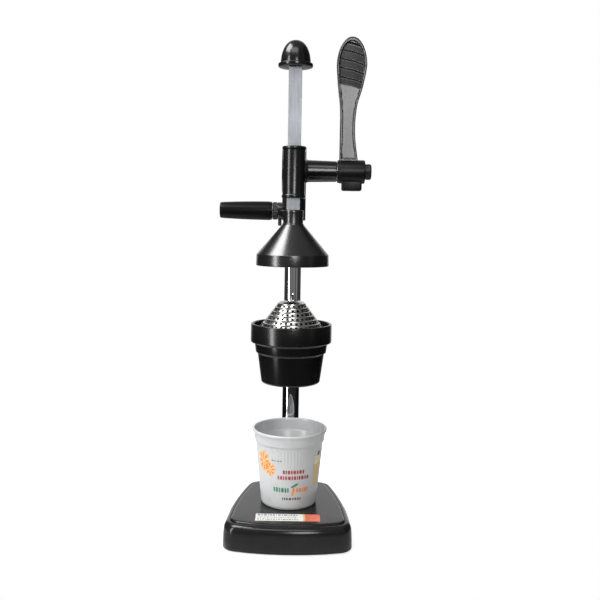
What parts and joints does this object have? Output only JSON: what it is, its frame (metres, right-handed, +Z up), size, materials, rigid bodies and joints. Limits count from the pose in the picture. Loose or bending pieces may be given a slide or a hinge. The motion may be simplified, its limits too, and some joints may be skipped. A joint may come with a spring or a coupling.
{
  "type": "lever citrus press",
  "caption": "Hand citrus press: a lever, pinion and rack push a bell down on half a fruit over a strainer cone in a bowl above a cup.",
  "frame": {"origin": "on the floor under the press axis, which runs up through the cup, the bowl, the bell and the rack", "axes": "+Z up along the press axis, +Y to the rear towards the pillar, +X to the side of the lever"},
  "size_m": [0.167, 0.146, 0.5317],
  "materials": {
    "base_black": "black enamel on a casting, satin gloss",
    "foot_rubber": "matt moulded rubber",
    "label_print": null,
    "pillar_chrome": "bright chrome plate",
    "zinc_plate": "zinc plated",
    "cup_white": null,
    "bowl_black": "black enamel, glossy",
    "strainer_steel": "pierced stainless sheet, bright",
    "rack_plate": "light grey plating, slightly rough",
    "bell_black": "black enamel, glossy",
    "knob_black": "black moulded plastic, high gloss",
    "head_black": "black enamel, glossy",
    "shaft_steel": "turned steel",
    "gear_steel": "cut gear, greased",
    "bush_bronze": "sintered bronze",
    "lever_black": "black enamel, satin",
    "bolt_black": "blackened steel",
    "grip_black": "black moulded plastic, satin",
    "screw_zinc": "zinc plated"
  },
  "bodies": {
    "frame": {"base_casting": "base_black", "base_label": "label_print", "bowl_set_screw": "screw_zinc", "cover_screw_1": "screw_zinc", "cover_screw_2": "screw_zinc", "cover_screw_3": "screw_zinc", "gear_cover": "head_black", "handle_grip": "grip_black", "handle_ring_nut": "bolt_black", "handle_set_screw": "bolt_black", "handle_stud": "screw_zinc", "handle_washer": "screw_zinc", "head_casting": "head_black", "head_set_screw_lower": "screw_zinc", "head_set_screw_upper": "screw_zinc", "juice_bowl": "bowl_black", "pillar": "pillar_chrome", "pillar_nut": "zinc_plate", "pillar_washer": "zinc_plate", "rubber_foot_1": "foot_rubber", "rubber_foot_2": "foot_rubber", "rubber_foot_3": "foot_rubber", "rubber_foot_4": "foot_rubber", "shaft_bush_inner": "bush_bronze", "shaft_bush_outer": "bush_bronze"},
    "lever": {"lever_arm": "lever_black", "pinion_shaft": "shaft_steel", "pinion_gear": "gear_steel", "pinion_key": "shaft_steel", "lever_bolt": "bolt_black", "bolt_washer": "screw_zinc", "hub_grub_screw": "screw_zinc", "hub_washer": "screw_zinc"},
    "rack": {"rack_bar": "rack_plate", "top_knob": "knob_black", "press_bell": "bell_black", "bell_lock_screw": "screw_zinc"},
    "strainer": {"strainer_cone": "strainer_steel"},
    "cup": {"juice_cup": "cup_white"}
  },
  "joints": [
    {"name": "lever_turn", "type": "hinge", "parent": "frame", "child": "lever", "pos_m": [0, 0.021, 0.3885], "axis": [1, 0, 0], "range_deg": [-44, 250]},
    {"name": "rack_slide", "type": "slide", "parent": "frame", "child": "rack", "axis": [0, 0, -1], "range_m": [-0.0124, 0.07]},
    {"name": "strainer_lift", "type": "slide", "parent": "frame", "child": "strainer", "axis": [0, 0, -1], "range_m": [-0.004, 0]},
    {"name": "cup_slide", "type": "slide", "parent": "frame", "child": "cup", "axis": [0, -1, 0], "range_m": [0, 0.12]}
  ],
  "couplings": [
    {"joint": "rack_slide", "follows": "lever_turn", "m_per_rad": 0.016}
  ]
}
